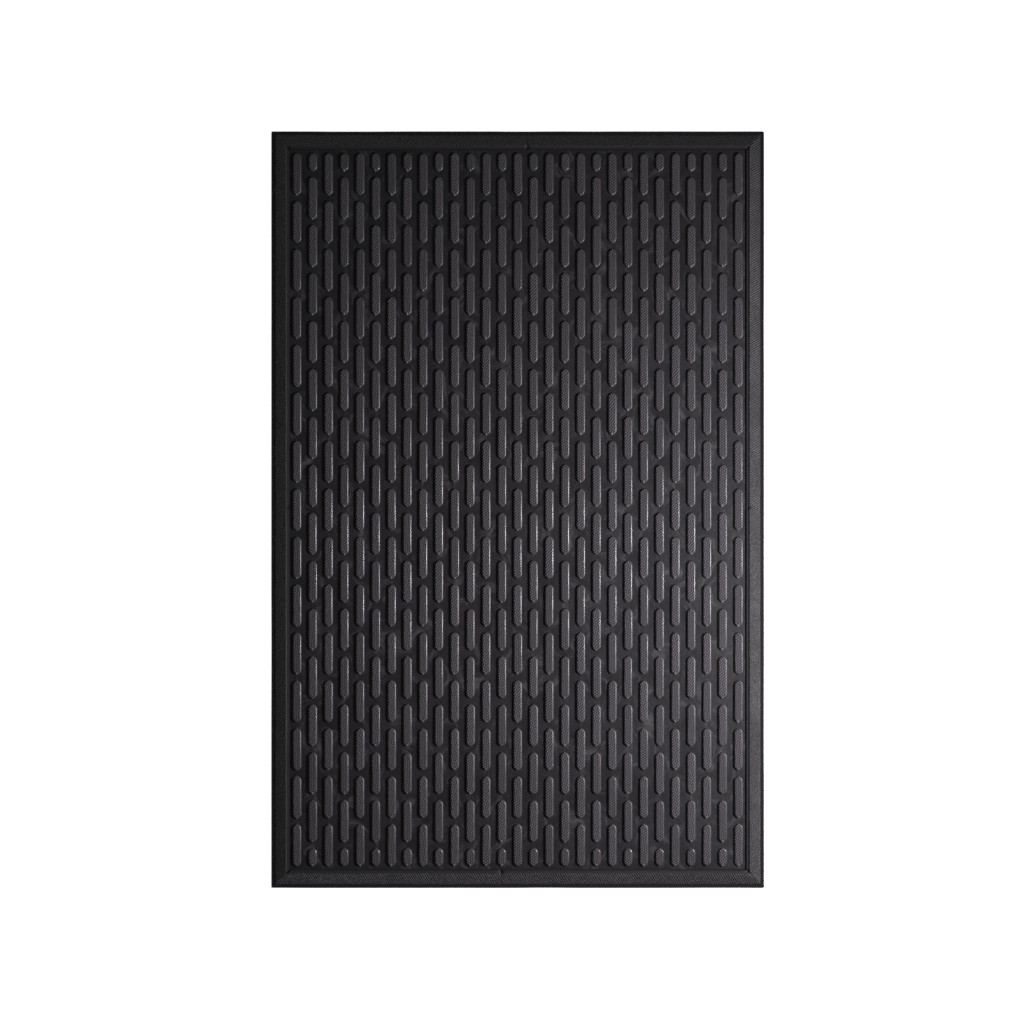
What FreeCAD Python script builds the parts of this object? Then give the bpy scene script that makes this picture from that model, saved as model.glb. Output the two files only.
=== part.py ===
import FreeCAD, Part
import os
import Sketcher
from FreeCAD import Rotation, Vector

# Rubber scraper door mat.
#
# The mat is laid up flat from rubber blanks that are pressed together and cured:
# a backing sheet the full size of the mat, a tread sheet that covers its middle,
# border strips mitred at the four corners and spliced near the middle of each side,
# and rows of raised scraper cleats that stand on the tread sheet.
#
# Frame: X runs across the mat, Y along its long side and Z up. The origin is the
# middle of the underside, which lies on the floor.

SHEET = "mat"

# alias, value (millimetres, degrees or a count), what it measures
SIZES = (
    ("width", 596.0, "mat, side to side"),
    ("length", 915.0, "mat, end to end"),
    ("backing_thickness", 1.5, "backing sheet"),
    ("tread_thickness", 2.5, "tread sheet, on top of the backing"),
    ("lip_width", 4.4, "bare margin of the backing outside the border"),
    ("ramp_width", 13.6, "outer slope of the border, in plan"),
    ("ramp_toe", 0.6, "height of the border's outer edge above the backing"),
    ("crest_height", 6.5, "highest line of the border above the floor"),
    ("fall_width", 1.8, "inner slope from the crest to the ledge, in plan"),
    ("ledge_height", 5.7, "ledge above the floor"),
    ("ledge_width", 1.8, "flat of the ledge"),
    ("wall_width", 1.6, "steep wall from the ledge to the tread, in plan"),
    ("front_splice", -20.2, "X where the two front strips meet"),
    ("back_splice", 11.3, "X where the two back strips meet"),
    ("left_splice", 2.7, "Y where the two left strips meet"),
    ("right_splice", 1.6, "Y where the two right strips meet"),
    ("column_count", 29.0, "columns of cleats, side by side"),
    ("column_pitch", 19.05, "from one column to the next"),
    ("row_count", 15.0, "cleats in a column that starts with a full one"),
    ("row_pitch", 57.9, "from one cleat to the next in its column"),
    ("cleat_length", 51.6, "full cleat, tip to tip"),
    ("cleat_width", 11.6, "cleat at its foot"),
    ("cleat_height", 2.6, "cleat above the tread"),
    ("tip_width", 3.5, "blunt tip of a cleat at its foot"),
    ("tip_taper", 4.6, "length over which a cleat narrows to its tip"),
    ("cleat_draft", 34.0, "lean of a cleat's walls from upright"),
)

BORDER_WIDTH = "mat.lip_width + mat.ramp_width + mat.fall_width + mat.ledge_width + mat.wall_width"
CREST_AT = "mat.lip_width + mat.ramp_width"
LEDGE_AT = CREST_AT + " + mat.fall_width"
TREAD_TOP = "mat.backing_thickness + mat.tread_thickness"

# A staggered column ends in a short cleat at each end. It is as long as half a full
# cleat less half a gap, so every column starts and stops on the same line.
STUB_LENGTH = "(mat.cleat_length - mat.row_pitch / 2)"
STUB_SPACING = f"mat.row_pitch * (mat.row_count - 1) + mat.cleat_length - {STUB_LENGTH}"


def make_sheet(doc):
    """Fill the spreadsheet with the driving dimensions, one alias to a row."""
    sheet = doc.addObject("Spreadsheet::Sheet", SHEET)
    for row, (alias, value, meaning) in enumerate(SIZES, start=1):
        sheet.set(f"A{row}", alias)
        sheet.set(f"B{row}", str(value))
        sheet.set(f"C{row}", meaning)
        sheet.setAlias(f"B{row}", alias)
    doc.recompute()
    return sheet


def measure(doc, expression):
    """Work out an expression of the spreadsheet's aliases as a plain number."""
    value = doc.getObject(SHEET).evalExpression(expression)
    return float(getattr(value, "Value", value))


def add_body(doc, label):
    """Start a sub-part whose label is also the name of its file."""
    body = doc.addObject("PartDesign::Body", label)
    body.Label = label
    return body


def add_sketch(body, name, plane_role, corners):
    """Draw a closed outline on one of the body's origin planes.

    corners lists the outline's corners as pairs of expressions. Each corner is
    dimensioned from the origin of the sketch, so the outline is fully constrained.
    """
    doc = body.Document
    sketch = body.newObject("Sketcher::SketchObject", f"{body.Label}_{name}")
    plane = next(item for item in body.Origin.OriginFeatures if item.Role == plane_role)
    sketch.AttachmentSupport = (plane, [""])
    sketch.MapMode = "FlatFace"
    points = [Vector(measure(doc, x), measure(doc, y), 0) for x, y in corners]
    count = len(points)
    for index in range(count):
        edge = Part.LineSegment(points[index], points[(index + 1) % count])
        sketch.addGeometry(edge, False)
    for index in range(count):
        sketch.addConstraint(Sketcher.Constraint("Coincident", index, 2, (index + 1) % count, 1))
    for index, (x, y) in enumerate(corners):
        dimension(sketch, "DistanceX", index, points[index].x, x)
        dimension(sketch, "DistanceY", index, points[index].y, y)
    return sketch


def dimension(sketch, kind, corner, value, expression):
    """Hold one coordinate of a corner at the value of an expression."""
    name = f"{kind}_{corner}"
    number = sketch.addConstraint(Sketcher.Constraint(kind, -1, 1, corner, 1, value))
    sketch.renameConstraint(number, name)
    sketch.setExpression(f"Constraints.{name}", expression)


def add_pad(body, name, sketch, height):
    """Raise a sketch to a height given as an expression."""
    pad = body.newObject("PartDesign::Pad", f"{body.Label}_{name}")
    pad.Profile = sketch
    pad.setExpression("Length", height)
    return pad


def add_row(body, name, feature, spacing, occurrences):
    """Repeat a feature along Y. The row becomes the body's result."""
    row = body.newObject("PartDesign::LinearPattern", f"{body.Label}_{name}")
    row.Originals = [feature]
    along = next(item for item in body.Origin.OriginFeatures if item.Role == "Y_Axis")
    row.Direction = (along, [""])
    row.Mode = "Spacing"
    row.setExpression("Offset", spacing)
    row.setExpression("Occurrences", occurrences)
    body.Tip = row
    return row


def rectangle(half_width, half_length):
    """Corners of a rectangle centred on the origin."""
    return (
        (f"-({half_width})", f"-({half_length})"),
        (half_width, f"-({half_length})"),
        (half_width, half_length),
        (f"-({half_width})", half_length),
    )


def make_backing(doc):
    """Flat sheet the full size of the mat; its bare margin is the mat's thin lip."""
    body = add_body(doc, "backing_sheet")
    outline = add_sketch(body, "outline", "XY_Plane", rectangle("mat.width / 2", "mat.length / 2"))
    add_pad(body, "pad", outline, "mat.backing_thickness")
    return body


def make_tread(doc):
    """Sheet inside the border, on top of the backing, that carries the cleats."""
    body = add_body(doc, "tread_sheet")
    half_width = f"mat.width / 2 - ({BORDER_WIDTH})"
    half_length = f"mat.length / 2 - ({BORDER_WIDTH})"
    outline = add_sketch(body, "outline", "XY_Plane", rectangle(half_width, half_length))
    add_pad(body, "pad", outline, "mat.tread_thickness")
    body.setExpression("Placement.Base.z", "mat.backing_thickness")
    return body


def border_profile():
    """Section of a border strip: distance inwards from the mat's edge, then height.

    From the lip it rises up the ramp to the crest, falls to a narrow ledge and
    drops down a steep wall to the tread.
    """
    return (
        ("mat.lip_width", "mat.backing_thickness"),
        (BORDER_WIDTH, "mat.backing_thickness"),
        (BORDER_WIDTH, TREAD_TOP),
        (f"{LEDGE_AT} + mat.ledge_width", "mat.ledge_height"),
        (LEDGE_AT, "mat.ledge_height"),
        (CREST_AT, "mat.crest_height"),
        ("mat.lip_width", "mat.backing_thickness + mat.ramp_toe"),
    )


def mitre_waste(half_side, end):
    """Triangle beyond the 45 degree mitre at one end (-1 or 1) of a side."""
    return (
        (f"{end} * ({half_side})", "0"),
        (f"{end} * ({half_side} + 1)", "0"),
        (f"{end} * ({half_side} + 1)", BORDER_WIDTH),
        (f"{end} * ({half_side} - ({BORDER_WIDTH}))", BORDER_WIDTH),
    )


def make_strip(doc, label, half_side, start, stop, angle, base):
    """Border strip along one side, from start to stop as seen from inside the mat.

    It is drawn along X with the mat's edge on the X axis, cut at 45 degrees at each
    end that reaches a corner, then turned and moved to its side of the mat.
    """
    body = add_body(doc, label)
    profile = add_sketch(body, "profile", "YZ_Plane", border_profile())
    bar = add_pad(body, "bar", profile, stop)
    bar.Type = "Length"
    bar.SideType = "Two sides"
    bar.setExpression("Length2", f"-({start})")
    doc.recompute()
    volume = body.Shape.Volume
    for end, reach in ((-1, start), (1, stop)):
        if abs(measure(doc, reach)) < measure(doc, half_side):
            continue
        side = "left" if end < 0 else "right"
        waste = add_sketch(body, f"{side}_waste", "XY_Plane", mitre_waste(half_side, end))
        mitre = body.newObject("PartDesign::Pocket", f"{label}_{side}_mitre")
        mitre.Profile = waste
        mitre.Type = "ThroughAll"
        mitre.Reversed = True
        doc.recompute()
        if body.Shape.Volume >= volume:
            raise RuntimeError(f"{label}: the {side} mitre cut nothing")
        volume = body.Shape.Volume
    body.Placement.Rotation = Rotation(Vector(0, 0, 1), angle)
    for axis, place in zip("xy", base):
        body.setExpression(f"Placement.Base.{axis}", place)
    return body


def make_border(doc):
    """Eight strips: each side of the mat has two, which meet at its splice."""
    half_width = "mat.width / 2"
    half_length = "mat.length / 2"
    # the two strips in the order of the side's own X, half the side, the splice, the turn, the side's place
    sides = (
        (("front_left", "front_right"), half_width, "mat.front_splice", 0, ("0", f"-{half_length}")),
        (("right_front", "right_back"), half_length, "mat.right_splice", 90, (half_width, "0")),
        (("back_right", "back_left"), half_width, "-mat.back_splice", 180, ("0", half_length)),
        (("left_back", "left_front"), half_length, "-mat.left_splice", -90, (f"-{half_width}", "0")),
    )
    strips = []
    for (first, second), half_side, splice, angle, base in sides:
        strips.append(make_strip(doc, f"border_{first}", half_side, f"-{half_side}", splice, angle, base))
        strips.append(make_strip(doc, f"border_{second}", half_side, splice, half_side, angle, base))
    return strips


def cleat_outline(middle, length):
    """Foot of a cleat: a long bar along Y that narrows to a blunt tip at each end."""
    side = "mat.cleat_width / 2"
    tip = "mat.tip_width / 2"
    low, high = f"{middle} - {length} / 2", f"{middle} + {length} / 2"
    return (
        (f"-{tip}", low),
        (tip, low),
        (side, f"{low} + mat.tip_taper"),
        (side, f"{high} - mat.tip_taper"),
        (tip, high),
        (f"-{tip}", high),
        (f"-{side}", f"{high} - mat.tip_taper"),
        (f"-{side}", f"{low} + mat.tip_taper"),
    )


def add_cleats(body, name, length, spacing, occurrences):
    """Row of equal cleats centred on the middle of the mat, with drafted walls."""
    first = f"-({spacing}) * ({occurrences} - 1) / 2"
    outline = add_sketch(body, f"{name}_foot", "XY_Plane", cleat_outline(first, length))
    cleat = add_pad(body, name, outline, "mat.cleat_height")
    cleat.setExpression("TaperAngle", "-mat.cleat_draft")
    return add_row(body, f"{name}_row", cleat, spacing, occurrences)


def make_column(doc, number):
    """Column of separate cleats; every second column is staggered by half a pitch."""
    body = add_body(doc, f"cleat_column_{number:02d}")
    if number % 2:
        add_cleats(body, "full", "mat.cleat_length", "mat.row_pitch", "mat.row_count")
    else:
        add_cleats(body, "full", "mat.cleat_length", "mat.row_pitch", "(mat.row_count - 1)")
        add_cleats(body, "stub", STUB_LENGTH, STUB_SPACING, "2")
    across = f"({number} - (mat.column_count + 1) / 2) * mat.column_pitch"
    body.setExpression("Placement.Base.x", across)
    body.setExpression("Placement.Base.z", TREAD_TOP)
    return body


def make_columns(doc):
    """All columns of cleats, numbered from the left side of the mat."""
    count = int(measure(doc, "mat.column_count"))
    return [make_column(doc, number) for number in range(1, count + 1)]


def check(doc, bodies):
    """Stop if any object failed to compute or any sub-part is not sound."""
    for item in doc.Objects:
        if "Invalid" in item.State or "Error" in item.State:
            raise RuntimeError(f"{item.Label} did not compute: {item.State}")
    for body in bodies:
        if body.Shape.isNull() or not body.Shape.isValid():
            raise RuntimeError(f"{body.Label} is not a valid shape")
        for solid in body.Shape.Solids:
            if not solid.isClosed() or solid.Volume <= 0:
                raise RuntimeError(f"{body.Label} has an open or empty solid")


def export(bodies):
    """Write one STEP file for each sub-part and say what is in it."""
    os.makedirs("parts", exist_ok=True)
    for body in bodies:
        body.Shape.exportStep(f"parts/{body.Label}.step")
        box = body.Shape.BoundBox
        print(
            f"{body.Label}: {len(body.Shape.Solids)} solid(s), {body.Shape.Volume / 1000:.1f} cm3, "
            f"X {box.XMin:.2f}..{box.XMax:.2f}, Y {box.YMin:.2f}..{box.YMax:.2f}, "
            f"Z {box.ZMin:.2f}..{box.ZMax:.2f} mm"
        )


def main():
    doc = FreeCAD.newDocument("door_mat")
    make_sheet(doc)
    bodies = [make_backing(doc), make_tread(doc)]
    bodies += make_border(doc)
    bodies += make_columns(doc)
    doc.recompute()
    check(doc, bodies)
    export(bodies)


main()
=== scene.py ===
# %% [markdown]
# # A rubber scraper mat
#
# The mat is black rubber, laid up from sheets and strips and cured in a press. A thin
# backing shows as a bare lip round the edge. Inside it a ramp climbs to a crest, and a
# narrow ledge steps down from there to a sunken field, where columns of long cleats stand
# to scrape the dirt off shoes. The frame already holds every piece as a plain solid in
# its right place. This lesson keeps those places and gives each piece its moulded shape
# and its finish.

import bpy
import numpy as np
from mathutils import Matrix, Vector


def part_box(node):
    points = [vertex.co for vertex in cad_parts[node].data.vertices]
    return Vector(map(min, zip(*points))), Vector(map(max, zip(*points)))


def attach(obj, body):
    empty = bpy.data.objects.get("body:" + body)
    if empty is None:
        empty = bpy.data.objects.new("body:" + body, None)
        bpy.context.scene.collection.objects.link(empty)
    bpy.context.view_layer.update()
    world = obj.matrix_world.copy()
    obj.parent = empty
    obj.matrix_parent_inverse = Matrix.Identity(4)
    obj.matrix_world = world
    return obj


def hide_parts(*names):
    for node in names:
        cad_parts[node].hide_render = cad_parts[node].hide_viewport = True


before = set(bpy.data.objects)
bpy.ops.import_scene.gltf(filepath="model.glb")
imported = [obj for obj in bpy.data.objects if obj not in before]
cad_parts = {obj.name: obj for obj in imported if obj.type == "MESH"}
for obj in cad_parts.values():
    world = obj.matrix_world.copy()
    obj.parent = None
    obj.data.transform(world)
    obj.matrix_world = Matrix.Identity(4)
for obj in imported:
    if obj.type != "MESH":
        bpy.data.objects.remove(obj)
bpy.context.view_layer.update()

# %% [markdown]
# ## Sizes
#
# Every length comes from the frame or is named once here, in metres. Working from the
# boxes of the plain solids means that a new piece lands exactly where its solid is.

# %% Read the sizes
MM = 0.001


def box_of(node):
    """Lowest and highest corner of a plain solid, as arrays."""
    low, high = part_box(node)
    return np.array(low), np.array(high)


_, backing_high = box_of("backing_sheet")
tread_low, tread_high = box_of("tread_sheet")
_, strip_high = box_of("border_right_back")

HALF_WIDTH, HALF_LENGTH, LIP_TOP = backing_high
TREAD_TOP = tread_high[2]
CREST_TOP = strip_high[2]
LIP_WIDTH = HALF_WIDTH - strip_high[0]
BORDER_WIDTH = HALF_WIDTH - tread_high[0]
print(f"mat {2 * HALF_WIDTH:.3f} x {2 * HALF_LENGTH:.3f} m")
print(f"lip {LIP_WIDTH:.4f} m wide, border {BORDER_WIDTH:.4f} m with its lip")

# %% [markdown]
# ## Unevenness
#
# Moulded rubber is never quite straight or flat. A few sine waves of unrelated lengths,
# added up, wander like the real thing, and a seed makes them wander the same way on every
# run. Noise from a texture would do too, but a sum of waves can be worked out for a whole
# array of places at once and shapes the mesh itself.

# %% A wandering line
# how many times shorter each wave is than the longest one
WAVE_RATIOS = np.array([1.0, 1.37, 1.83, 2.41, 3.19])
# five waves rarely peak together, so their sum is raised to reach the size asked for
WAVE_GAIN = 1.8


def wander(along, seed, length, size):
    """Sum of five sine waves of the places in `along`.

    Their wavelengths run from `length` down to about a third of it, their phases are
    drawn from the seed, and each is as high as its length's share. The peaks of the sum
    come close to `size`, and a few pass it.
    """
    draw = np.random.default_rng(seed)
    lengths = length / WAVE_RATIOS
    phases = draw.uniform(0, 2 * np.pi, lengths.size)
    waves = np.sin(2 * np.pi * np.asarray(along)[..., None] / lengths + phases)
    return size * (waves * lengths / lengths.sum()).sum(-1) * WAVE_GAIN


trial = wander(np.linspace(0, 1, 500), seed=1, length=0.2, size=1.0)
print("wander reaches", np.abs(trial).max().round(2), "times its size")

# %% [markdown]
# ## From arrays to a mesh
#
# Nearly every piece here is a stack of rings of points, joined by quads and closed by a
# cap at each end, so a few helpers serve them all. Rings that are stacked from the foot
# to the top, anticlockwise as seen from above, give faces that point outwards.

# %% Rings into faces
def ring_quads(rings, count):
    """Quads between rings of `count` points: a point, its neighbour and the two above them."""
    ring, step = np.meshgrid(np.arange(rings - 1), np.arange(count), indexing="ij")
    here, there = ring * count, (step + 1) % count
    above = here + count
    return np.stack([here + step, here + there, above + there, above + step], -1).reshape(-1, 4)


def closed_faces(rings, count):
    """The quads between all rings, then a cap on the first ring and one on the last."""
    first = list(range(count))[::-1]
    last = list(range((rings - 1) * count, rings * count))
    return ring_quads(rings, count).tolist() + [first, last]


print("a stack of 5 rings of 14 points has", len(ring_quads(5, 14)), "quads")

# %% Faces into a piece
SHARP = np.radians(50)


def add_piece(name, points, faces, replaced, marks=None, normals=None):
    """Put points and faces in a mesh, smooth it, and let it stand for the solids in `replaced`.

    marks maps the name of an attribute to one value for each point. normals gives each
    point the direction that its surface faces; without it, edges past 50 degrees are sharp.
    """
    mesh = bpy.data.meshes.new(name)
    mesh.from_pydata(points.reshape(-1, 3).tolist(), [], faces)
    mesh.shade_smooth()
    if normals is None:
        mesh.set_sharp_from_angle(angle=SHARP)
    else:
        mesh.normals_split_custom_set_from_vertices(normals.reshape(-1, 3).tolist())
    for mark, values in (marks or {}).items():
        attribute = mesh.attributes.new(mark, "FLOAT", "POINT")
        attribute.data.foreach_set("value", np.ravel(values).astype(np.float32))
    piece = bpy.data.objects.new(name, mesh)
    bpy.context.scene.collection.objects.link(piece)
    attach(piece, "root")
    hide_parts(*replaced)
    return piece


print("edges sharper than", round(np.degrees(SHARP)), "degrees stay crisp")

# %% [markdown]
# ## The backing sheet
#
# The backing is a thin rubber sheet, trimmed with a knife after curing. Its cut edge is
# square with a faint rounding, and it wanders by a tenth of a millimetre or two. Rings of
# points that follow a rectangle with small round corners make it, each ring a little
# further in or higher than the one before.

# %% A rectangle with round corners
def rectangle_ring(half_x, half_y, radius, per_side=48, per_corner=4):
    """Points round a rectangle, anticlockwise from its right side.

    Each corner is a quarter circle of the given radius, and each side is cut into equal
    steps between the corners.
    """
    turns = np.linspace(0, np.pi / 2, per_corner + 1)
    points = []
    for quarter, (sign_x, sign_y) in enumerate(((1, 1), (-1, 1), (-1, -1), (1, -1))):
        centre = np.array([sign_x * (half_x - radius), sign_y * (half_y - radius)])
        angle = turns + quarter * np.pi / 2
        points.append(centre + radius * np.stack([np.cos(angle), np.sin(angle)], -1))
    loop = []
    for quarter in range(4):
        start, stop = points[quarter][-1], points[(quarter + 1) % 4][0]
        steps = np.arange(1, per_side)[:, None] / per_side
        loop += [points[quarter], start + (stop - start) * steps]
    return np.concatenate(loop)


print("the ring has", len(rectangle_ring(HALF_WIDTH, HALF_LENGTH, 1 * MM)), "points")

# %% Build the backing sheet
CORNER_RADIUS = 1.4 * MM
SMALLEST_RADIUS = 0.2 * MM
TRIM_WAVE = 0.31
TRIM_WANDER = 0.12 * MM
# how far in from the edge and how high each ring of the backing is
BACKING_RINGS = np.array([
    (8.0, 0.0), (0.3, 0.0), (0.0, 0.25), (0.0, 1.3),
    (0.06, 1.42), (0.2, 1.49), (0.4, 1.5), (8.0, 1.5),
]) * MM


def backing_points():
    """Rings of the backing: a rectangle moved in and up by each pair of the section.

    The knife wandered inwards in places: there the whole ring is drawn in by its share.
    """
    rings = []
    for inset, height in BACKING_RINGS:
        radius = max(CORNER_RADIUS - inset, SMALLEST_RADIUS)
        flat = rectangle_ring(HALF_WIDTH - inset, HALF_LENGTH - inset, radius)
        around = np.linspace(0, 4 * HALF_WIDTH + 4 * HALF_LENGTH, len(flat), endpoint=False)
        pull = 1 - wander(around, 11, TRIM_WAVE, TRIM_WANDER).clip(0) / HALF_WIDTH
        rings.append(np.column_stack([flat * pull[:, None], np.full(len(flat), height)]))
    return np.stack(rings)


points = backing_points()
faces = closed_faces(*points.shape[:2])
backing = add_piece("backing_sheet_rubber", points, faces, ["backing_sheet"])
print(f"backing sheet: {len(faces)} faces")

# %% [markdown]
# ## The tread sheet
#
# The field between the cleats is the face of the mould's flat plate. Rubber shrinks
# unevenly as it cools, so the field has slow swells of less than a tenth of a millimetre.
# They are too low to see as shapes, but they catch the light as soft patches. A grid of
# heights makes the top, and its rim is carried down to the backing.

# %% The top of the tread sheet
GRID_STEP = 9 * MM
SWELL = 0.07 * MM
WAVE_ACROSS, SKEW_ACROSS = 0.17, 0.3
WAVE_ALONG, SKEW_ALONG = 0.23, 0.2


def tread_points(columns, rows):
    """Grid over the field, each point at the tread's top plus two wandering lines.

    One line runs across the mat and one along it. Each leans a little on the other
    direction, so that the swells don't line up with the sides.
    """
    across = np.linspace(tread_low[0], tread_high[0], columns)
    along = np.linspace(tread_low[1], tread_high[1], rows)
    x, y = np.meshgrid(across, along)
    z = TREAD_TOP + wander(x + SKEW_ACROSS * y, 21, WAVE_ACROSS, SWELL)
    z = z + wander(y - SKEW_ALONG * x, 22, WAVE_ALONG, SWELL)
    return np.stack([x, y, z], -1)


columns = round((tread_high[0] - tread_low[0]) / GRID_STEP) + 1
rows = round((tread_high[1] - tread_low[1]) / GRID_STEP) + 1
top = tread_points(columns, rows)
print(f"tread sheet: {columns} x {rows} grid")

# %% Close the tread sheet
index = np.arange(rows * columns).reshape(rows, columns)
quads = np.stack([index[:-1, :-1], index[:-1, 1:], index[1:, 1:], index[1:, :-1]], -1)
rim = np.concatenate([index[0, :-1], index[:-1, -1], index[-1, :0:-1], index[:0:-1, 0]])
under = top.reshape(-1, 3)[rim] * [1, 1, 0] + [0, 0, tread_low[2]]
below = index.size + np.arange(rim.size)
faces = quads.reshape(-1, 4).tolist()
faces += np.stack([below, np.roll(below, -1), np.roll(rim, -1), rim], -1).tolist()
faces.append(below[::-1].tolist())
points = np.concatenate([top.reshape(-1, 3), under])
tread = add_piece("tread_sheet_rubber", points, faces, ["tread_sheet"])
print(f"tread sheet: {len(faces)} faces")

# %% [markdown]
# ## The cleats
#
# A cleat is a long bar with a rounded point at each end and round edges, because the
# mould was cut with a ball cutter. There are 449 of them, so each one has to be light: a
# ring of 18 points, stacked 4 high, is 56 faces. Few faces look round when each point is
# told which way the true curve faces there, and the same formula gives that too.
#
# In plan each end is a superellipse, an ellipse whose exponent is below 2, so that it
# comes to a soft point. The long sides bulge by a few tenths of a millimetre. In section
# the edge is a quarter of an ellipse, upright at the foot and level at the top.

# %% The plan of a cleat
TAPER = 5.8 * MM
END_POWER = 1.75
BULGE = 0.32 * MM
END_TURNS = np.radians([0, 26, 50, 72, 90, 108, 130, 154, 180])
POINTS = 2 * END_TURNS.size


def cleat_plan(half_width, half_length, taper, bulge):
    """Points round cleats, anticlockwise from the right flank; sizes may be arrays of cleats.

    At turn t across an end, x is the half width times cos(t) and y is the taper times
    sin(t), both raised to 2 over the power of the superellipse. The shoulders, where the
    ends begin, are narrower than the middle by the bulge.
    """
    reach = np.abs(np.cos(END_TURNS)) ** (2 / END_POWER) * np.sign(np.cos(END_TURNS).round(6))
    climb = np.sin(END_TURNS).clip(0) ** (2 / END_POWER)
    x = (np.asarray(half_width) - bulge)[..., None] * reach
    y = np.asarray(half_length)[..., None] - np.asarray(taper)[..., None] * (1 - climb)
    return np.concatenate([x, -x], -1), np.concatenate([y, -y], -1)


print("points in a cleat's plan:", POINTS)

# %% The section of a cleat
EDGE_WIDTH = 1.95 * MM
# how far the foot reaches into the tread, so that no gap shows under it
SINK = 0.25 * MM
# a high power bends only the tips of a leaning cleat
LEAN_POWER = 8
# turn of the quarter ellipse at each ring, from the foot to the flat top
EDGE_TURNS = np.radians([90, 62, 33, 0])
# how far the flanks turn at the shoulders, where they meet the tips, and which points
# those are: 1 turns towards the back and -1 towards the front
SHOULDER_TURN = np.radians(6)
SHOULDERS = np.zeros(POINTS)
SHOULDERS[[0, END_TURNS.size - 1]] = 1
SHOULDERS[[END_TURNS.size, POINTS - 1]] = -1


def cleat_points(centre_x, centre_y, half_width, half_length, height, lean):
    """Points of many cleats at once, and the way each faces, as (cleats, rings, points, 3).

    At turn t of the edge, a ring is moved in by the edge's width times one minus sin(t),
    and stands at the height times cos(t). The tips lean sideways by `lean`. The surface
    faces away from the outline by sin(t) over the edge's width, and up by cos(t) over the
    height. At the shoulders it also turns towards the tip, which is how the bulge of the
    long flanks shows.
    """
    inset = EDGE_WIDTH * (1 - np.sin(EDGE_TURNS))
    rise = np.cos(EDGE_TURNS)
    width = half_width[:, None] - inset
    length = half_length[:, None] - inset
    x, y = cleat_plan(width, length, TAPER * width / half_width[:, None], BULGE)
    tip = np.abs(y) / half_length[:, None, None]
    x = x + lean[:, None, None] * (tip ** LEAN_POWER) * np.sign(y)
    z = TREAD_TOP - SINK + (height[:, None] + SINK) * rise
    z = np.broadcast_to(z[..., None], x.shape)
    run_x, run_y = (np.roll(v, -1, -1) - np.roll(v, 1, -1) for v in (x, y))
    run = np.hypot(run_x, run_y)
    out = np.sin(EDGE_TURNS)[:, None] / EDGE_WIDTH
    up = np.cos(EDGE_TURNS)[:, None] / height[:, None, None]
    along = np.tan(SHOULDER_TURN) * SHOULDERS - run_x / run
    facing = np.stack([out * run_y / run, out * along, np.broadcast_to(up, x.shape)], -1)
    facing /= np.linalg.norm(facing, axis=-1, keepdims=True)
    x = x + centre_x[:, None, None]
    y = y + centre_y[:, None, None]
    return np.stack([x, y, z], -1), facing


print("rings in a cleat:", EDGE_TURNS.size)

# %% Where the cleats of a column stand
CLEAT_LENGTH = 51.6 * MM
ROWS = 15


def column_layout(low, high, staggered):
    """Middle and half length of each cleat in a column, from front to back.

    Full cleats are evenly spaced from one end of the column to the other. A staggered
    column has one fewer, half a pitch later, and what is left at each end is a short one.
    """
    pitch = (high[1] - low[1] - CLEAT_LENGTH) / (ROWS - 1)
    full = low[1] + CLEAT_LENGTH / 2 + pitch * np.arange(ROWS)
    if not staggered:
        return full, np.full(ROWS, CLEAT_LENGTH / 2)
    half_stub = (CLEAT_LENGTH - pitch / 2) / 2
    middles = np.concatenate([[low[1] + half_stub], full[:-1] + pitch / 2, [high[1] - half_stub]])
    halves = np.concatenate([[half_stub], np.full(ROWS - 1, CLEAT_LENGTH / 2), [half_stub]])
    return middles, halves


low, high = box_of("cleat_column_01")
print("row pitch:", round((high[1] - low[1] - CLEAT_LENGTH) / (ROWS - 1), 5), "m")

# %% What the finish reads on a cleat
BACK_TIP, FRONT_TIP = POINTS // 4, POINTS * 3 // 4
# the imprint mark on the last three rings, from the edge to the flat top
IMPRINT_RINGS = np.array([0.25, 0.55, 1.0])


def cleat_marks(points, middles, draw):
    """Four numbers for each point of the cleats.

    imprint climbs from 0 on the flank to 1 on the flat top. tone is one random number for
    the whole cleat. The mark at the tips, which places a painted glint, is random at each
    tip, stronger at the front one, and 0 elsewhere. reach is the distance along the mat from
    the cleat's middle.
    """
    count = middles.size
    imprint = np.zeros(points.shape[:3])
    imprint[:, -IMPRINT_RINGS.size:] = IMPRINT_RINGS[:, None]
    tone = np.broadcast_to(draw.uniform(0, 1, count)[:, None, None], imprint.shape)
    # a painted glint at each tip, stronger at the front tip
    tip_glint = np.zeros(points.shape[:3])
    tip_glint[:, 1:, FRONT_TIP] = draw.uniform(0.3, 1, count)[:, None]
    tip_glint[:, 1:, BACK_TIP] = draw.uniform(0, 0.5, count)[:, None]
    reach = points[..., 1] - middles[:, None, None]
    return {"imprint": imprint, "tone": tone, "tip_glint": tip_glint, "reach": reach}


print("imprint on the rings:", IMPRINT_RINGS)

# %% Build the columns
# how much cleats differ: place and lean in metres, width and height as shares
PLACE_SPREAD = 0.10 * MM
WIDTH_SPREAD = 0.008
LENGTH_SPREAD = 0.15 * MM
HEIGHT_SPREAD = 0.02
LEAN_SPREAD = 0.35 * MM
RINGS = EDGE_TURNS.size
one_cleat = ring_quads(RINGS, POINTS)
foot_cap = np.arange(POINTS)[::-1]
top_cap = np.arange(POINTS) + (RINGS - 1) * POINTS


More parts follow.
